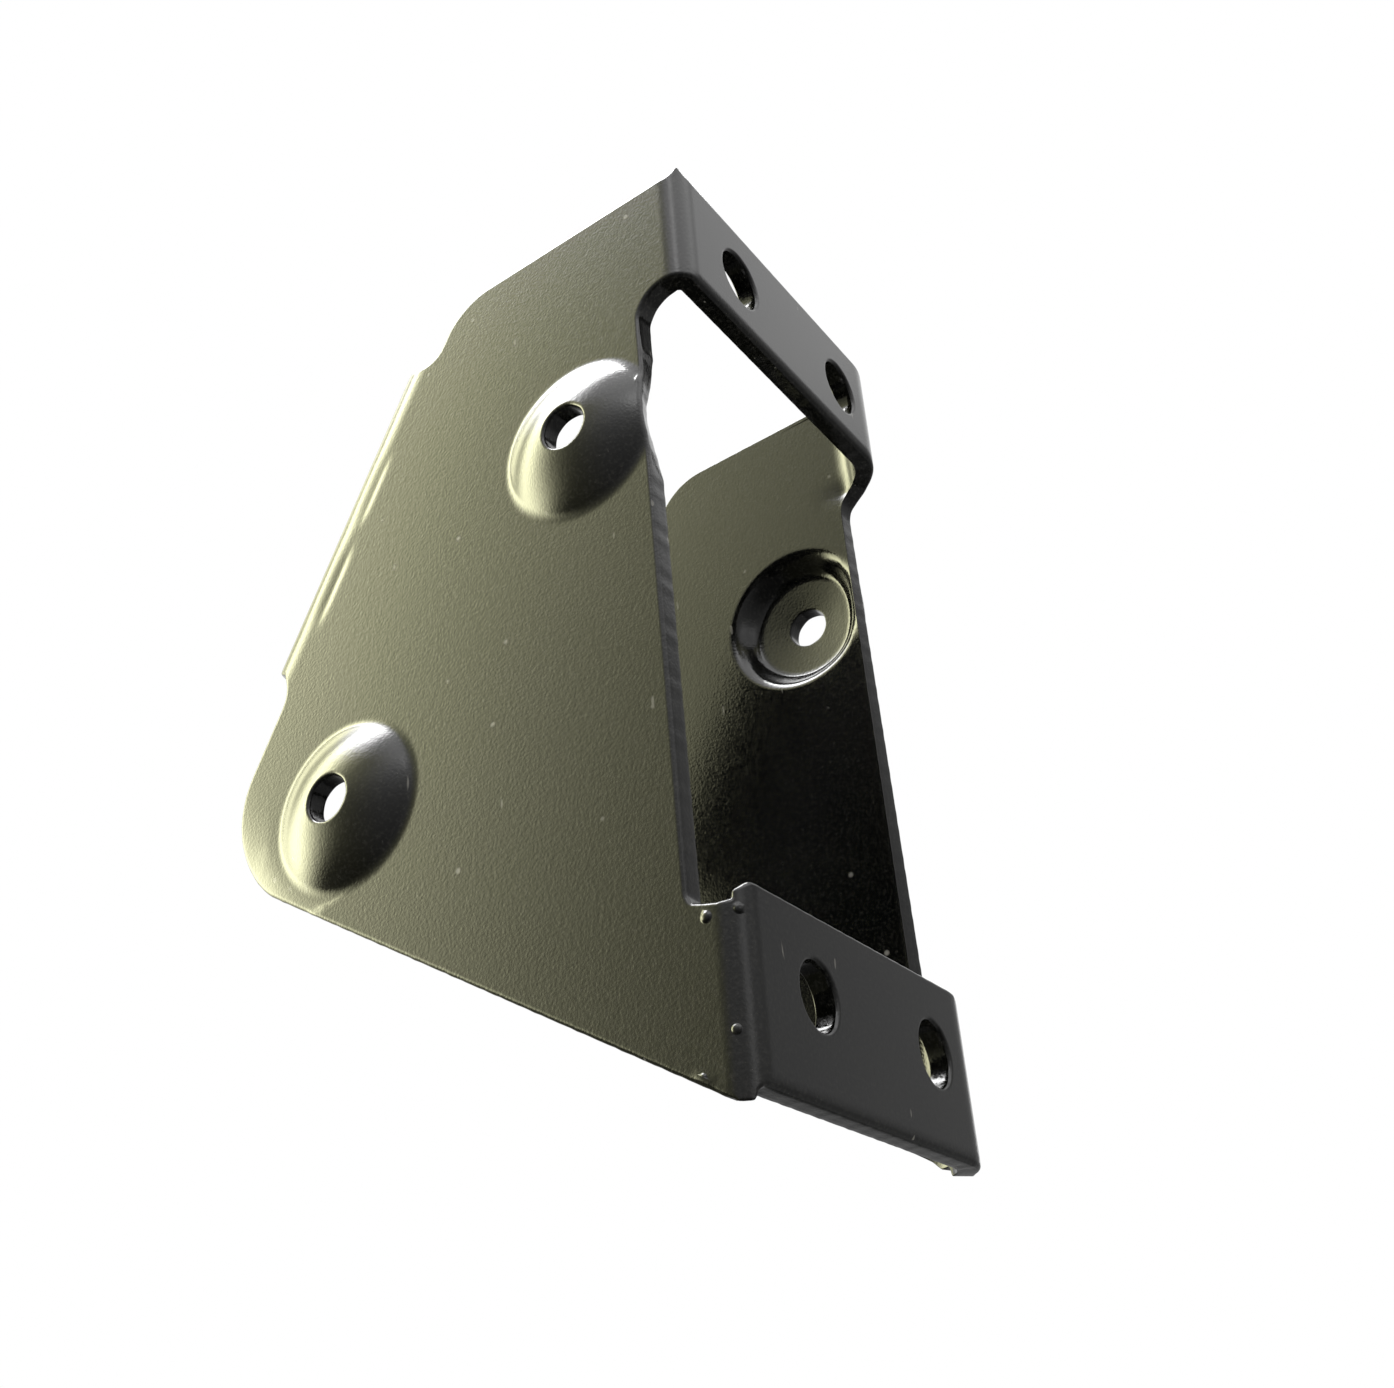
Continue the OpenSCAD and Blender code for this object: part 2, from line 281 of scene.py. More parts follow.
@dataclass(frozen=True)
class Seat:
    """One domed screw seat: its place on a wall and the two faces of its dome, in millimetres."""

    y: float
    z: float
    r: float = 10.4
    h: float = 3.3
    foot: float = 2.2
    hollow_r: float = 9.4
    floor_r: float = 7.4
    floor_fall: float = 0.6
    floor_power: float = 1.3
    floor_round: float = 0.7
    lip_round: float = 1.2
    hole_r: float = 2.6

    def outer(self, r: Array) -> Array:
        """Height of the outer face: a sphere that runs tangent into a round foot.

        The angle where they meet is twice the arc tangent of h / r, so that the sphere reaches h in the
        middle and the foot runs level with the wall at r.

        Args:
            r: Distances from the middle.

        Returns:
            The heights.
        """
        angle = 2 * np.arctan(self.h / self.r)
        sphere = self.r / np.sin(angle) - self.foot
        meet = sphere * np.sin(angle)
        crown = self.h - sphere + np.sqrt(np.maximum(sphere**2 - r**2, 0.0))
        foot = self.foot - np.sqrt(np.maximum(self.foot**2 - np.clip(self.r - r, 0, self.foot) ** 2, 0.0))
        return np.where(r < meet, crown, foot)

    def inner(self, r: Array) -> Array:
        """Depth of the hollow behind it: a round lip, a short steep cone and a nearly flat floor.

        The floor falls by floor_fall times (r / floor_r) to the power floor_power, and the cone runs from
        the floor's edge to no depth at hollow_r. Soft minima and maxima round the joins.

        Args:
            r: Distances from the middle.

        Returns:
            The depths.
        """
        cone = (self.hollow_r - r) * (self.h - self.floor_fall) / (self.hollow_r - self.floor_r)
        floor = self.h - self.floor_fall * (r / self.floor_r) ** self.floor_power
        return soft_max(soft_min(cone, floor, self.floor_round), np.zeros_like(r), self.lip_round)


@dataclass(frozen=True)
class Bead:
    """A small drop of enamel that dried proud of the outer face: place on the blank and size, in mm."""

    s: float
    z: float
    r: float
    h: float


@dataclass(frozen=True)
class Dent:
    """A shallow long dent beside a flange fold: place along and beyond the back line and sizes, in mm.

    Its side towards the fold is fade times as wide as its other side.
    """

    a: float
    out: float
    length: float
    width: float
    depth: float
    fade: float = 2.2

    def inward(self, a: Array, out: Array) -> Array:
        """Depth of the dent: an uneven bell shape across it and a flat-topped one along it."""
        across = (out - self.out) / np.where(out < self.out, self.width, self.fade * self.width)
        return self.depth * np.exp(-(((a - self.a) / self.length) ** 4) - across**2)


@dataclass
class Blank:
    """The flat blank of the sheet, and the way it folds.

    A point of the blank is (s, z). s follows the outer face through the left wall, the left bend, the
    web, the right bend and the right wall, and equals x in the web. edge_pull says how far the press
    drew the sheet's edge back beside the upper seats, over what height, and the depth and length over
    which that fades.
    """

    sizes: Sizes = field(default_factory=Sizes)
    spacing: Spacing = field(default_factory=Spacing)
    seats: tuple[Seat, ...] = (Seat(15.3, 74.0), Seat(48.1, 40.3))
    beads: tuple[Bead, ...] = (
        Bead(-26.97, 15.28, 0.55, 0.3), Bead(-23.84, 15.57, 0.5, 0.25),
        Bead(-24.89, 4.79, 0.45, 0.22), Bead(-28.45, 1.34, 0.4, 0.2), Bead(-30.15, 77.8, 0.45, 0.3),
    )
    dents: tuple[Dent, ...] = (Dent(25.0, -4.9, 4.2, 0.6, 0.13), Dent(37.6, -5.2, 4.6, 0.6, 0.15))
    edge_pull: tuple[float, float, float, float] = (0.9, 8.2, 6.5, 5.0)

    def bend_r(self, side: Side) -> float:
        """Outer radius of the web bend on one side."""
        return self.sizes.tight_r if side is Side.LEFT else self.sizes.open_r

    def bend_start(self, side: Side) -> float:
        """Distance from the middle of the web to the start of a bend."""
        return self.sizes.width / 2 - self.bend_r(side)

    def along(self, side: Side, y: Array) -> Array:
        """Place on the blank of a depth y on the outer face of one side."""
        r = self.bend_r(side)
        turn = np.arccos(np.clip(1 - np.minimum(y, r) / r, -1, 1))
        return side.value * (self.bend_start(side) + r * turn + np.maximum(y - r, 0.0))

    def side_loop(self, side: Side, points: Array) -> Array:
        """Takes wall points (depth, height) to the blank."""
        return np.column_stack([self.along(side, points[:, 0]), points[:, 1]])

    def back_point(self, a: float, o: float) -> Pair:
        """Point of the wall at a along the back line and o beyond it."""
        c, s = np.cos(np.radians(self.sizes.back_lean)), np.sin(np.radians(self.sizes.back_lean))
        return self.sizes.back_y + a * s + o * c, self.sizes.height - a * c + o * s

    def fold_length(self) -> float:
        """Length of the outer face round the oval fold of a flange, by Ramanujan's formula for an ellipse."""
        a, b = self.sizes.fold
        return float(np.pi / 4 * (3 * (a + b) - np.sqrt((3 * a + b) * (a + 3 * b))))

    def top_z(self, y: float) -> float:
        """Height of the top edge of a wall."""
        return self.sizes.height - y * self.sizes.top_fall

    def low_start(self, side: Side) -> float:
        """Depth below the web at which the bottom edge of a wall would meet the web face."""
        return self.sizes.bottom_start if side is Side.LEFT else self.sizes.open_bottom_start

    def bottom_z(self, side: Side, y: float) -> float:
        """Height of the bottom edge of a wall."""
        return y * np.tan(np.radians(self.sizes.bottom_rise)) - self.low_start(side)

    def corner(self, p: Array, u: Array, q: Array, v: Array, r: float) -> Pair:
        """Centre of the round between two edges, each given by a point and the way it leaves the corner.

        Args:
            p: A point of the first edge.
            u: Unit direction of the first edge, away from the corner.
            q: A point of the second edge.
            v: Unit direction of the second edge, away from the corner.
            r: Radius of the round.

        Returns:
            The centre.
        """
        cross = u[0] * v[1] - u[1] * v[0]
        at = p + u * ((q[0] - p[0]) * v[1] - (q[1] - p[1]) * v[0]) / cross
        half = np.arccos(np.clip(u @ v, -1, 1)) / 2
        centre = at + (u + v) / np.linalg.norm(u + v) * r / np.sin(half)
        return float(centre[0]), float(centre[1])

    def heel_centre(self, side: Side) -> Pair:
        """Centre of the heel's round, between the bottom edge and the line of the back edge."""
        k = self.sizes
        lean, rise = np.radians(k.back_lean), np.radians(k.bottom_rise)
        low, down = np.array([np.cos(rise), np.sin(rise)]), np.array([np.sin(lean), -np.cos(lean)])
        start, back = np.array([0, -self.low_start(side)]), np.array(self.back_point(0, -k.lower_step))
        return self.corner(start, -low, back, -down, k.heel)

    def crown_centre(self) -> Pair:
        """Centre of the crown's round, between the top edge and the line of the back edge."""
        k = self.sizes
        lean, fall = np.radians(k.back_lean), -np.arctan(k.top_fall)
        top, down = np.array([np.cos(fall), np.sin(fall)]), np.array([np.sin(lean), -np.cos(lean)])
        start, back = np.array([0, k.height]), np.array(self.back_point(0, -k.upper_step))
        return self.corner(start, -top, back, down, k.crown)

    def back_edge(self, side: Side) -> Array:
        """Wall outline from the heel, past both reliefs and the flat flange, to the crown, as (y, z)."""
        k = self.sizes
        start, length, width, round_r = k.flange
        free = self.fold_length() - k.fold[0] + width - k.fold[1]
        turn = k.back_lean - 90
        in_low, in_up = k.lower_step - k.lower_relief, k.upper_step - k.upper_relief
        reach_low = np.sqrt(k.lower_relief**2 - (k.tight_r - in_low) ** 2)
        reach_up = np.sqrt(k.upper_relief**2 - (k.tight_r - in_up) ** 2)
        end_low = -180 - np.degrees(np.arctan2(in_low - k.tight_r, reach_low))
        end_up = np.degrees(np.arctan2(in_up - k.tight_r, reach_up))
        low_relief = self.back_point(start + length + reach_low, -in_low)
        low_corner = self.back_point(start + length - round_r, free - round_r)
        up_corner = self.back_point(start + round_r, free - round_r)
        up_relief = self.back_point(start - reach_up, -in_up)
        top = 90 - np.degrees(np.arctan(k.top_fall))
        return np.concatenate([
            arc(self.heel_centre(side), k.heel, k.bottom_rise - 90, k.back_lean, self.spacing.round),
            arc(low_relief, k.lower_relief, turn - 90, turn + end_low),
            arc(low_corner, round_r, turn, turn + 90),
            arc(up_corner, round_r, turn + 90, turn + 180),
            arc(up_relief, k.upper_relief, turn + end_up, turn - 90),
            arc(self.crown_centre(), k.crown, k.back_lean, top, self.spacing.crown),
        ])

    def rim(self) -> Array:
        """Outer outline of the blank, with the metal on its left."""
        k = self.sizes
        level = k.notch[-1][1]
        notch_end = (level + k.open_bottom_start) / np.tan(np.radians(k.bottom_rise))
        right_low = np.array([*k.notch, (notch_end, level)])
        right = np.concatenate([right_low, self.back_edge(Side.RIGHT), [[0, k.height]]])
        turn, rise = np.array(k.peak).T
        left_high = np.column_stack([k.tight_r * (1 - np.cos(np.radians(turn))), k.height + rise])
        turn, drop = np.array([(k.foot_start, self.bottom_z(Side.LEFT, k.tight_r)), *k.foot]).T
        left_low = np.column_stack([k.tight_r * (1 - np.cos(np.radians(turn))), drop])
        left = np.concatenate([left_high, self.back_edge(Side.LEFT)[::-1], left_low])
        return np.concatenate([self.side_loop(Side.RIGHT, right), self.side_loop(Side.LEFT, left)])

    def window(self) -> Array:
        """Outline of the window through the web and the front of both walls, run the other way round."""
        k = self.sizes
        corner = (k.window_depth - k.window_corner, k.window_high - k.window_corner)
        upper = arc(corner, k.window_corner, 0, 90)
        ledge = np.array(k.ledge)
        left = np.concatenate([ledge, upper])
        right = np.concatenate([upper[::-1], ledge[::-1]])
        return np.concatenate([self.side_loop(Side.LEFT, left), self.side_loop(Side.RIGHT, right)])

    def seated(self) -> list[tuple[Seat, Array]]:
        """Every seat of both walls, with its middle on the blank."""
        places = [(side, seat, np.array([[seat.y, seat.z]])) for side in Side for seat in self.seats]
        return [(seat, self.side_loop(side, place)[0]) for side, seat, place in places]

    def loops(self) -> list[Array]:
        """Every outline of the blank with the metal on its left, the circles open by less than a step."""
        gap = self.spacing
        found = [
            stepped(bevelled(self.rim(), gap.rim_bevel), gap.rim),
            stepped(bevelled(self.window(), gap.window_bevel), gap.window),
        ]
        found += [arc(hole[:2], hole[2], 360, 360 / 73, gap.hole) for hole in self.sizes.holes]
        found += [arc(middle, seat.hole_r, 360, 360 / 61, gap.hole) for seat, middle in self.seated()]
        return found

    def carry(self, points: Array, depth: Array) -> Array:
        """Folds points of the blank.

        In a bend of outer radius R a point lies on a circle of radius R - n about the bend's axis, turned
        by its distance past the tangent divided by R, and n is its depth in the sheet. A seat then moves
        the point outwards by the height of its outer face, its inner face, or a mix by depth. Last, the
        point moves along the outer face's normal, (sin a, -cos a) for a bend angle a.

        Args:
            points: (n, 2) points of the blank.
            depth: 0 at the outer face, 1 at the inner face.

        Returns:
            (n, 3) points in millimetres, with heights above the bottom of the web.
        """
        k = self.sizes
        s, z = points[:, 0], points[:, 1].copy()
        n = depth * k.sheet
        x, y = s.copy(), n.copy()
        for side in Side:
            r, start = self.bend_r(side), self.bend_start(side)
            past = side.value * s - start
            turn = np.clip(past / r, 0, np.pi / 2)
            wall_y = r + past - r * np.pi / 2
            in_wall = past > r * np.pi / 2
            in_bend = (past > 0) & ~in_wall
            x = np.where(in_bend, side.value * (start + (r - n) * np.sin(turn)), x)
            y = np.where(in_bend, r - (r - n) * np.cos(turn), y)
            inward, wall_y, wall_z = self.wall_point(wall_y, z, n, depth, in_wall)
            x = np.where(in_wall, side.value * (k.width / 2 - inward), x)
            y = np.where(in_wall, wall_y, y)
            z = np.where(in_wall, wall_z, z)
        outward, lift, swing = self.worked(points, depth, y)
        return np.column_stack([x + outward * np.sin(swing), y - outward * np.cos(swing), z + lift])

    def worked(self, points: Array, depth: Array, y: Array) -> tuple[Array, Array, Array]:
        """Small moves that the press and the enamel add: beads, flare, foot tuck and die roll.

        A bead is half an ellipsoid. The flare grows with the square of the nearness to the window's upper
        edge and with the 1.5th power of the bend angle. The die roll grows with the square of the
        nearness to a strip's lower edge.

        Args:
            points: (n, 2) points of the blank.
            depth: 0 at the outer face, 1 at the inner face.
            y: Their folded depth behind the web face.

        Returns:
            The move along the outer face's normal, the lift, and the bend angle with the sign of x.
        """
        k = self.sizes
        s, height = points.T
        outward = np.zeros_like(s)
        for bead in self.beads:
            far = np.hypot(s - bead.s, height - bead.z) / bead.r
            outward += bead.h * (1 - depth) * np.sqrt(np.clip(1 - far**2, 0, 1))
        swing = np.zeros_like(s)
        for side in Side:
            past = side.value * s - self.bend_start(side)
            swing += side.value * np.clip(past / self.bend_r(side), 0, np.pi / 2)
        from_window = np.abs(height - k.window_high)
        out, reach, start, drop, end, fade = k.flare
        flare = np.clip(1 - from_window / reach, 0, 1) ** 2
        flare *= np.clip((swing - start) / (np.pi / 2 - start), 0, 1) ** 1.5
        flare *= np.clip((k.open_r + end - y) / fade, 0, 1) ** 2
        tuck, start, reach = k.foot_tuck
        in_tight = (swing < -0.05) & (swing > -np.pi / 2)
        tucked = depth * np.clip((start - height) / reach, 0, 1) * in_tight
        roll, reach, share, fade = k.roll
        rolled = np.clip(1 - height / reach, 0, 1) ** 2
        rolled += share * np.clip(1 - from_window / reach, 0, 1) ** 2
        rolled *= np.clip(1 - np.abs(swing) * fade, 0, 1)
        outward += out * flare - roll * rolled * (1 - depth)
        return outward, tuck * tucked - drop * flare, swing

    def wall_point(
        self, y: Array, z: Array, n: Array, depth: Array, in_wall: Array
    ) -> tuple[Array, Array, Array]:
        """Place of a wall point after the seats are raised and the flange is folded.

        Args:
            y: Depth behind the web face.
            z: Height.
            n: Depth in the sheet.
            depth: The same as a share of the sheet.
            in_wall: Which points lie behind the web bend.

        Returns:
            Distance inwards from the outer face of the wall, depth and height.
        """
        k = self.sizes
        raised = np.zeros_like(y)
        for seat in self.seats:
            r = np.hypot(y - seat.y, z - seat.z)
            raised += (1 - depth) * seat.outer(r) + depth * seat.inner(r)
        pull, reach, fade_start, fade = self.edge_pull
        near = np.clip(1 - ((z - self.seats[0].z) / reach) ** 2, 0, 1)
        near *= np.clip(1 - (y - fade_start) / fade, 0, 1)
        y = y + pull * depth * near * in_wall
        lean = np.radians(k.back_lean)
        out = (y - k.back_y) * np.cos(lean) + (z - k.height) * np.sin(lean)
        a = (y - k.back_y) * np.sin(lean) - (z - k.height) * np.cos(lean)
        long, short = k.fold
        past = out + long
        turn = np.clip(past / self.fold_length(), 0, 1) * np.pi / 2
        bent = past > 0
        across, along = short * np.sin(turn), long * np.cos(turn)
        size = np.hypot(across, along)
        new_out = np.where(bent, long * (np.sin(turn) - 1) - n * across / size, out)
        flat = np.maximum(past - self.fold_length(), 0)
        inward = np.where(bent, short * (1 - np.cos(turn)) + n * along / size + flat, n)
        inward += self.heel_bow(y, z) + sum(dent.inward(a, out) for dent in self.dents)
        return (
            inward - raised,
            k.back_y + a * np.sin(lean) + new_out * np.cos(lean),
            k.height - a * np.cos(lean) + new_out * np.sin(lean),
        )

    def heel_bow(self, y: Array, z: Array) -> Array:
        """How far the sheet bows inwards at its heel.

        It grows with the cube of the distance past the start of the bow, measured from the centre of the
        heel's round, and fades as a bell shape about the way that the bow faces. It ends 2 mm outside the
        heel, beyond the metal.

        Args:
            y: Depth behind the web face.
            z: Height.

        Returns:
            The distance inwards.
        """
        centre = self.heel_centre(Side.LEFT)
        heel = self.sizes.heel
        depth, reach, facing, spread = self.sizes.heel_bow
        far = np.hypot(y - centre[0], z - centre[1])
        way = np.degrees(np.arctan2(z - centre[1], y - centre[0]))
        grow = np.clip((far - heel + reach) / reach, 0, 1.2) ** 3
        return depth * grow * np.exp(-(((way - facing) / spread) ** 2)) * (far < heel + 2)

    def fill(self) -> Array:
        """Points inside the blank: rings on seats and beads, columns in bends, rows in rolls, and a grid."""
        k, gap = self.sizes, self.spacing
        angle = np.radians(np.arange(0, 360, gap.ring_angle))
        ring = np.column_stack([np.cos(angle), np.sin(angle)])
        radii = np.concatenate([*(np.arange(*span) for span in gap.seat_rings), gap.seat_outer_rings])
        middles = [middle for _, middle in self.seated()]
        found = [(radii[:, None, None] * ring[None]).reshape(-1, 2) + middle for middle in middles]
        for bead in self.beads:
            close = np.arange(*gap.bead_rings)[:, None, None] * bead.r * ring[::6][None]
            found.append(close.reshape(-1, 2) + [bead.s, bead.z])
        for side in Side:
            found += [self.bend_columns(side), self.fold_columns(side)]
        rolls = [k.roll[1] * np.array(gap.roll_rows) + low for low in (0.0, k.window_high)]
        edge = self.bend_start(Side.LEFT)
        across = np.arange(-edge, edge, gap.roll_step)
        found.append(np.stack(np.meshgrid(across, np.concatenate(rolls)), -1).reshape(-1, 2))
        span = self.along(Side.RIGHT, np.array(80.0))
        across, up = np.arange(-span, span, gap.grid), np.arange(-3, k.height + 3, gap.grid)
        grid = np.stack(np.meshgrid(across, up), -1).reshape(-1, 2)
        close = np.concatenate(found)
        free = clear_of(grid, close, gap.grid_gap)
        for middle in middles:
            free &= np.hypot(*(grid - middle).T) > gap.seat_edge
        return np.concatenate([close, grid[free]])

    def bend_columns(self, side: Side) -> Array:
        """Points of the blank in upright columns through one web bend and just beyond it."""
        gap = self.spacing
        r, start = self.bend_r(side), self.bend_start(side)
        margin = gap.bend_margin / r
        step = gap.tight_angle if side is Side.LEFT else gap.open_angle
        turn = np.concatenate([[-margin], np.radians(np.arange(0, 90.1, step)), [np.pi / 2 + margin]])
        heights = np.arange(-1, self.sizes.height + 1, gap.column)
        return np.stack(np.meshgrid(side.value * (start + r * turn), heights), -1).reshape(-1, 2)

    def fold_columns(self, side: Side) -> Array:
        """Points of the blank in columns along one flange fold, with closer ones beside it."""
        k, gap = self.sizes, self.spacing
        a = np.arange(k.flange[0], k.flange[0] + k.flange[1], gap.column)
        shares = [np.arange(*gap.fold_before), np.linspace(0, 1, gap.fold_columns), [gap.fold_after]]
        out = -k.fold[0] + self.fold_length() * np.concatenate(shares)
        along, beyond = (m.ravel() for m in np.meshgrid(a, out))
        y, z = self.back_point(along, beyond)
        return np.column_stack([self.along(side, y), z])


@dataclass
class FoldedSheet:
    """The whole bracket as one sheet with two faces and a worked rim, in millimetres.

    The rim has a round on each side and a faint shear ripple, and ends at support, inside the faces.
    """

    blank: Blank
    outer_round: float = 0.45
    inner_round: float = 0.13
    support: float = 0.75
    shear: float = 0.03
    ripple: float = 2.3

    def profile(self) -> Array:
        """Profile of the rim as rows of (inset, depth in the sheet), from the outer to the inner face."""
        t, ro, ri = self.blank.sizes.sheet, self.outer_round, self.inner_round
        a, b = np.radians(np.linspace(0, 90, 6)), np.radians(np.linspace(0, 90, 5))
        start, end = [[self.support, 0], [ro + 0.1, 0]], [[ri + 0.1, t], [self.support, t]]
        first = np.column_stack([ro * (1 - np.sin(a)), ro * (1 - np.cos(a))])
        last = np.column_stack([ri * (1 - np.cos(b)), t - ri + ri * np.sin(b)])
        return np.concatenate([start, first, [[0.0, t * 0.4], [0.0, t * 0.7]], last, end])

    def room(self, loop: Array) -> Array:
        """Share of the full inset that each point of an outline can take before the moved outline folds.

        At an outer corner the inset stays under 0.7 of the local radius, which is the mean of the two edge
        lengths over the turn. Away from it the inset grows by at most 0.6 of the distance along the outline.

        Args:
            loop: One outline of the blank.

        Returns:
            One share for each point.
        """
        ahead = np.roll(loop, -1, 0) - loop
        length = np.linalg.norm(ahead, axis=1)
        heading = np.arctan2(ahead[:, 1], ahead[:, 0])
        turn = (heading - np.roll(heading, 1) + np.pi) % (2 * np.pi) - np.pi
        radius = (length + np.roll(length, 1)) / 2 / np.maximum(turn, 1e-6)
        share = np.where(turn > 0.03, np.minimum(0.7 * radius / self.support, 1.0), 1.0)
        growth = 0.6 * length / self.support
        for _ in range(60):
            share = np.minimum(share, np.roll(share, -1) + growth)
            share = np.minimum(share, np.roll(share + growth, 1))
        return share

    def band(self, loop: Array) -> list[tuple[Array, Array]]:
        """The rings of one rim: the outline moved in by the profile's inset, with a faint shear ripple.

        Where the inset has little room, the round of the outer edge is shallower by the same share.

        Args:
            loop: One outline of the blank.

        Returns:
            For each row of the profile, the ring's points and their depth as a share of the sheet.
        """
        t = self.blank.sizes.sheet
        run = np.cumsum(np.linalg.norm(np.roll(loop, -1, 0) - loop, axis=1))
        around = 2 * np.pi * run / run[-1]
        waves = max(3, int(run[-1] / self.ripple))
        ripple = np.sin(around * waves) * np.sin(around * max(2, waves // 5) + 0.7)
        rings = []
        room = self.room(loop)
        for row in self.profile():
            share = 1 - min(row[0] / self.support, 1)
            distance = row[0] * room + self.shear * share * (1 + ripple)
            depth = row[1] * (room if row[1] <= self.outer_round else np.ones_like(room))
            rings.append((inset(loop, distance), depth / t))
        return rings

    def faces_of(self, loops: list[Array]) -> tuple[Array, Array]:
        """Joins the inset outlines and the inner points of the blank into triangles.

        Args:
            loops: The outlines, moved in to where the flat faces start.

        Returns:
            The points, with those of the outlines first and in order, and the triangles.
        """
        rim = np.concatenate(loops)
        fill = self.blank.fill()
        fill = fill[inside(fill, loops)]
        fill = fill[clear_of(fill, rim, self.blank.spacing.rim_gap)]
        points = np.concatenate([rim, fill])
        edges, base = [], 0
        for loop in loops:
            index = np.arange(len(loop))
            edges.append(np.column_stack([base + index, base + np.roll(index, -1)]))
            base += len(loop)
        flat = [Vector(p) for p in points.tolist()]
        result = delaunay_2d_cdt(flat, np.concatenate(edges).tolist(), [], 0, 1e-7)
        out, triangles, origin = result[0], np.array(result[2]), result[3]
        order = np.array([o[0] if o else -1 for o in origin])
        if len(out) != len(points) or (order < 0).any():
            LOG.warning("the blank gained or lost points: %d for %d", len(out), len(points))
        triangles = order[triangles]
        middle = points[triangles].mean(1)
        return points, triangles[inside(middle, loops)]

    def build(self) -> bpy.types.Object:
        """Makes the mesh: the outer face, the inner face turned over, and the rims between them."""
        bands = [self.band(loop) for loop in self.blank.loops()]
        points, triangles = self.faces_of([band[0][0] for band in bands])
        count = len(points)
        flats = [points, points]
        depths = [np.zeros(count), np.ones(count)]
        quads, base, at = [], 2 * count, 0
        for band in bands:
            size = len(band[0][0])
            index = np.arange(size)
            ids = [at + index]
            for ring, depth in band[1:-1]:
                flats.append(ring)
                depths.append(depth)
                ids.append(base + index)
                base += size
            ids.append(count + at + index)
            at += size
            grid = np.array(ids)
            nxt = np.roll(grid, -1, 1)
            quads.append(np.stack([grid[:-1], grid[1:], nxt[1:], nxt[:-1]], -1).reshape(-1, 4))
        solid = self.blank.carry(np.concatenate(flats), np.concatenate(depths))
        solid[:, 2] -= self.blank.sizes.pattern
        faces = triangles.tolist() + (triangles[:, ::-1] + count).tolist() + np.concatenate(quads).tolist()
        mesh = bpy.data.meshes.new("folded_sheet")
        mesh.from_pydata((solid * METRE).tolist(), [], faces)
        mesh.validate()
        mesh.shade_smooth()
        piece = placed("folded_sheet", mesh)
        LOG.info("folded_sheet: %d points, %d faces", len(mesh.vertices), len(mesh.polygons))
        return piece


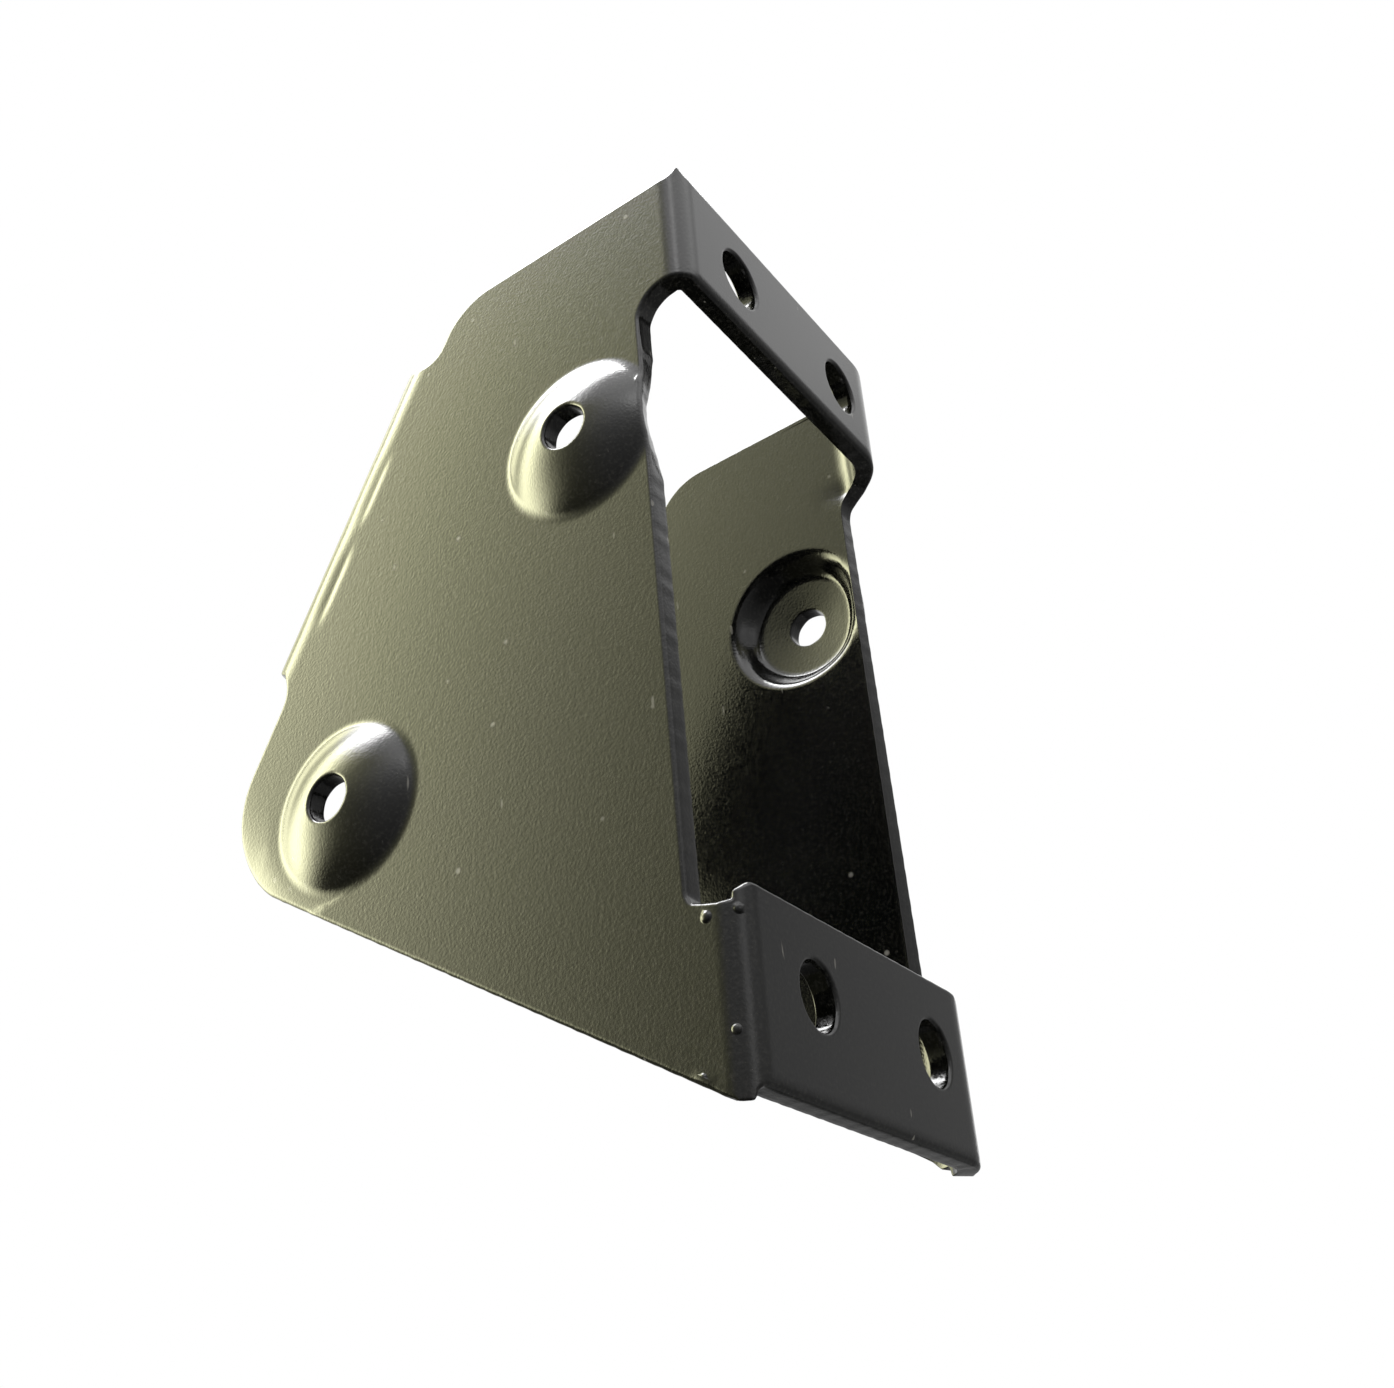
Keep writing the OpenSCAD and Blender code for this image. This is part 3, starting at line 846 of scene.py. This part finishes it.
@dataclass(frozen=True)
class Enamel:
    """Dip-coated black enamel over pressed steel.

    Each scale is that of a texture over metres. A range is the texture's values between which a mark
    grows from nothing to its full strength; rough is the least and the greatest roughness.
    """

    base: Triple = (0.002, 0.0022, 0.002)
    haze: Triple = (0.005, 0.005, 0.004)
    haze_scale: float = 60.0
    dust: Triple = (0.25, 0.24, 0.21)
    rough: Pair = (0.09, 0.17)
    rough_scale: float = 1300.0
    mottle: float = 0.06
    mottle_scale: float = 2600.0
    speck_scale: float = 260.0
    speck_range: Pair = (0.11, 0.05)
    patch_scale: float = 190.0
    patch_range: Pair = (0.66, 0.70)
    hair: float = 0.6
    hair_scale: float = 900.0
    hair_range: Pair = (0.77, 0.80)
    peel: float = 0.35
    peel_scale: float = 3200.0
    peel_depth: float = 0.00006

    def material(self) -> bpy.types.Material:
        """Builds the node material: haze, fine mottle, uneven gloss, orange peel, dust and hairlines."""
        mat = bpy.data.materials.new("black_enamel")
        mat.use_nodes = True
        mat.node_tree.nodes.clear()
        new, link = mat.node_tree.nodes.new, mat.node_tree.links.new

        def noise(vector: Socket, scale: float, detail: float) -> Socket:
            """Adds a noise texture and gives its value."""
            node = new("ShaderNodeTexNoise")
            node.inputs["Scale"].default_value = scale
            node.inputs["Detail"].default_value = detail
            link(vector, node.inputs["Vector"])
            return node.outputs["Fac"]

        def ramp(value: Socket, low: float, high: float, a: float, b: float) -> Socket:
            """Maps low..high to a..b, clamped."""
            node = new("ShaderNodeMapRange")
            for name, number in (("From Min", low), ("From Max", high), ("To Min", a), ("To Max", b)):
                node.inputs[name].default_value = number
            link(value, node.inputs["Value"])
            return node.outputs["Result"]

        def blend(factor: Socket, a: object, b: object) -> Socket:
            """Mixes two colours, each a socket or a plain colour."""
            node = new("ShaderNodeMix")
            node.data_type = "RGBA"
            link(factor, node.inputs["Factor"])
            for name, value in (("A", a), ("B", b)):
                socket = [i for i in node.inputs if i.name == name and i.type == "RGBA"][0]
                if isinstance(value, tuple):
                    socket.default_value = (*value, 1.0)
                else:
                    link(value, socket)
            return [o for o in node.outputs if o.type == "RGBA"][0]

        def joined(way: str, a: Socket, b: Socket) -> Socket:
            """Joins two values by one step of arithmetic."""
            node = new("ShaderNodeMath")
            node.operation = way
            link(a, node.inputs[0])
            link(b, node.inputs[1])
            return node.outputs[0]

        place = new("ShaderNodeTexCoord").outputs["Object"]
        speck = new("ShaderNodeTexVoronoi")
        speck.inputs["Scale"].default_value = self.speck_scale
        link(place, speck.inputs["Vector"])
        near = ramp(speck.outputs["Distance"], *self.speck_range[::-1], 1.0, 0.0)
        chosen = ramp(noise(place, self.patch_scale, 0.0), *self.patch_range, 0.0, 1.0)
        stretch = new("ShaderNodeMapping")
        stretch.inputs["Scale"].default_value = (1.0, 1.0, 0.3)
        stretch.inputs["Rotation"].default_value = (0.5, 0.3, 0.9)
        link(place, stretch.inputs["Vector"])
        lines = noise(stretch.outputs["Vector"], self.hair_scale, 1.0)
        hair = ramp(lines, *self.hair_range, 0.0, self.hair)
        marks = joined("MAXIMUM", joined("MULTIPLY", near, chosen), hair)
        cloud = ramp(noise(place, self.haze_scale, 3.0), 0.35, 0.7, 0.0, 1.0)
        grain = ramp(noise(place, self.mottle_scale, 2.0), 0.5, 0.75, 0.0, self.mottle)
        colour = blend(marks, blend(grain, blend(cloud, self.base, self.haze), self.dust), self.dust)
        shader = new("ShaderNodeBsdfPrincipled")
        link(colour, shader.inputs["Base Color"])
        shader.inputs["IOR"].default_value = 1.5
        rough = ramp(noise(place, self.rough_scale, 3.0), 0.3, 0.75, *self.rough)
        link(rough, shader.inputs["Roughness"])
        bump = new("ShaderNodeBump")
        bump.inputs["Strength"].default_value = self.peel
        bump.inputs["Distance"].default_value = self.peel_depth
        link(noise(place, self.peel_scale, 2.0), bump.inputs["Height"])
        link(bump.outputs["Normal"], shader.inputs["Normal"])
        link(shader.outputs["BSDF"], new("ShaderNodeOutputMaterial").inputs["Surface"])
        return mat


@dataclass
class Studio:
    """Floor, backdrop, lamp, mirrored surroundings and the camera of the photograph, in metres."""

    eye: Triple = (-0.135387, -0.064960, -0.090666)
    forward: Triple = (0.741376, 0.453446, 0.494720)
    right: Triple = (0.552916, -0.830509, -0.067367)
    focal_px: float = 1592.2
    frame_px: float = 1394.0
    floor_z: float = -0.26
    floor_half: float = 3.0
    lamp_way: Triple = (-0.3, 0.2, 1.0)
    lamp_far: float = 1.4
    lamp_side: float = 0.9
    lamp_watts: float = 12.0

    def camera(self) -> None:
        """Puts the camera where the photograph was taken from, with its three axes as columns."""
        data = bpy.data.cameras.new("camera")
        data.sensor_fit = "HORIZONTAL"
        data.sensor_width = 36.0
        data.lens = self.focal_px / self.frame_px * data.sensor_width
        data.clip_start, data.clip_end = 0.005, 50.0
        cam = placed("camera", data)
        right, back = Vector(self.right).normalized(), -Vector(self.forward).normalized()
        up = back.cross(right)
        turn = Matrix((right, up, back)).transposed().to_4x4()
        cam.matrix_world = Matrix.Translation(self.eye) @ turn
        bpy.context.scene.camera = cam

    def world(self) -> None:
        """Pale surroundings: white where they are seen or mirrored, and grey as a light."""
        world = bpy.data.worlds.new("studio")
        bpy.context.scene.world = world
        world.use_nodes = True
        world.node_tree.nodes.clear()
        new, link = world.node_tree.nodes.new, world.node_tree.links.new
        path = new("ShaderNodeLightPath")
        seen = path.outputs["Is Camera Ray"]
        for name in ("Is Glossy Ray", "Is Transmission Ray"):
            most = new("ShaderNodeMath")
            most.operation = "MAXIMUM"
            link(seen, most.inputs[0])
            link(path.outputs[name], most.inputs[1])
            seen = most.outputs[0]
        soft, pale = new("ShaderNodeBackground"), new("ShaderNodeBackground")
        soft.inputs["Color"].default_value = (0.5, 0.5, 0.5, 1)
        pale.inputs["Color"].default_value = (1.0, 1.0, 1.0, 1)
        mix = new("ShaderNodeMixShader")
        link(seen, mix.inputs["Fac"])
        link(soft.outputs[0], mix.inputs[1])
        link(pale.outputs[0], mix.inputs[2])
        link(mix.outputs[0], new("ShaderNodeOutputWorld").inputs["Surface"])

    def glow(self, way: Array) -> Array:
        """Colour and strength of the mirrored surroundings, by direction.

        The bearing runs from straight out of the left wall towards the back, in degrees. The sky grows as
        the exponential of (elevation - 30) / 17 up to a cap. In front of the web it is evener, with a
        step up above 30 degrees. A ceiling starts at 48 degrees, except over the front. A tall side box
        stands at bearing 72 and is dimmed in two places. Behind the camera are two weak lamps, with a
        dimmer patch beside them. On the left wall's side, the light below the ceiling is warm.

        Args:
            way: (n, 3) unit directions.

        Returns:
            (n, 3) linear colours.
        """
        bearing = np.degrees(np.arctan2(way[:, 1], -way[:, 0]))
        height = np.degrees(np.arcsin(np.clip(way[:, 2], -1, 1)))

        def ease(value: Array, low: float, high: float) -> Array:
            """Smooth step from 0 at low to 1 at high."""
            t = np.clip((value - low) / (high - low), 0, 1)
            return t * t * (3 - 2 * t)

        def spot(at: Pair, wide: Pair) -> Array:
            """Bell shape about a bearing and an elevation."""
            return np.exp(-(((bearing - at[0]) / wide[0]) ** 2) - ((height - at[1]) / wide[1]) ** 2)

        cap = 46 + 14 * ease(bearing, 20, 50)
        sky = 0.05 + 0.17 * ease(height, -45, -8) + 0.78 * np.exp((np.minimum(height, cap) - 30) / 17)
        front = ease(-bearing, 100, 138)
        sky += front * (0.2 + 0.15 * ease(height, -20, 5) + 0.72 * ease(height, 30, 44) - sky)
        light = sky + 6.5 * ease(height, 48, 62) * ease(bearing, 20, 55)
        box = np.exp(-(((bearing - 72) / 22.5) ** 2)) * ease(height, -18, 6)
        light += 12 * box * (1 - 0.7 * spot((94, 31), (13, 12)))
        light *= 1 - 0.8 * spot((87, 46), (11, 20))
        light += 0.7 * spot((-68, 15), (14, 10)) + 1.7 * spot((-28, 46), (9, 8))
        light -= 0.9 * spot((16, 46), (17, 8))
        warm = ease(bearing, -10, 30) * (1 - ease(bearing, 100, 135)) * (1 - ease(height, 42, 56))
        tint = 1 - warm[:, None] * np.array([0.0, 0.01, 0.36])
        return light[:, None] * tint

    def shell(self, r: float = 0.9, step: float = 4.0, hole: Triple = (110.0, 3.0, 56.0)) -> None:
        """Adds the mirrored surroundings: a sphere of cards, seen only in reflections and open behind.

        Args:
            r: Radius, in metres.
            step: Size of a card, in degrees.
            hole: Bearing past which the sphere is open, and the least and greatest elevation there.
        """
        bearing = np.radians(np.arange(-180, 181, step))
        height = np.radians(np.arange(-90, 91, step / 2))
        b, h = np.meshgrid(bearing, height)
        way = np.stack([-np.cos(h) * np.cos(b), np.cos(h) * np.sin(b), np.sin(h)], -1).reshape(-1, 3)
        index = np.arange(len(way)).reshape(b.shape)
        cells = np.stack([index[:-1, :-1], index[:-1, 1:], index[1:, 1:], index[1:, :-1]], -1)
        past, low, high = np.radians(hole)
        around, up = b[:-1, :-1], h[:-1, :-1]
        opening = (around > past) & (up > low) & (up < high)
        mesh = bpy.data.meshes.new("soft_boxes")
        mesh.from_pydata((way * r).tolist(), [], cells[~opening].tolist())
        glow = mesh.color_attributes.new("glow", "FLOAT_COLOR", "POINT")
        glow.data.foreach_set("color", np.column_stack([self.glow(way), np.ones(len(way))]).ravel())
        mat = bpy.data.materials.new("soft_boxes")
        mat.use_nodes = True
        new, link = mat.node_tree.nodes.new, mat.node_tree.links.new
        mat.node_tree.nodes.clear()
        colour, light = new("ShaderNodeAttribute"), new("ShaderNodeEmission")
        colour.attribute_name = "glow"
        link(colour.outputs["Color"], light.inputs["Color"])
        link(light.outputs["Emission"], new("ShaderNodeOutputMaterial").inputs["Surface"])
        mat.cycles.emission_sampling = "NONE"
        mesh.materials.append(mat)
        shell = placed("soft_boxes", mesh)
        shell.visible_camera = shell.visible_diffuse = shell.visible_shadow = False

    def lamp(self) -> None:
        """Adds one square soft box above the bracket, left out of its reflections."""
        data = bpy.data.lights.new("ceiling_light", "AREA")
        data.size, data.energy = self.lamp_side, self.lamp_watts
        lamp = placed("ceiling_light", data)
        way = Vector(self.lamp_way).normalized()
        lamp.location = way * self.lamp_far
        lamp.rotation_euler = way.to_track_quat("Z", "Y").to_euler()
        lamp.visible_glossy = False

    def floor(self) -> None:
        """Adds a plain pale floor, well below the bracket and left out of its reflections."""
        mesh = bpy.data.meshes.new("floor")
        r, z = self.floor_half, self.floor_z
        mesh.from_pydata([(-r, -r, z), (r, -r, z), (r, r, z), (-r, r, z)], [], [(0, 1, 2, 3)])
        floor = placed("floor", mesh)
        mat = bpy.data.materials.new("pale_floor")
        mat.use_nodes = True
        shader = mat.node_tree.nodes["Principled BSDF"]
        shader.inputs["Base Color"].default_value = (0.82, 0.82, 0.81, 1)
        shader.inputs["Roughness"].default_value = 0.9
        mesh.materials.append(mat)
        floor.visible_glossy = False

    def build(self) -> None:
        """Sets up everything around the bracket."""
        self.camera()
        self.world()
        self.floor()
        self.shell()
        self.lamp()
        bpy.context.scene.view_settings.view_transform = "Standard"


def main() -> None:
    """Builds the studio and the bracket and reports each piece."""
    logging.basicConfig(level=logging.INFO)
    Studio().build()
    sheet = FoldedSheet(Blank()).build()
    sheet.data.materials.append(Enamel().material())
    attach(sheet, "root")
    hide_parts("bracket")


if __name__ == "__main__":
    main()
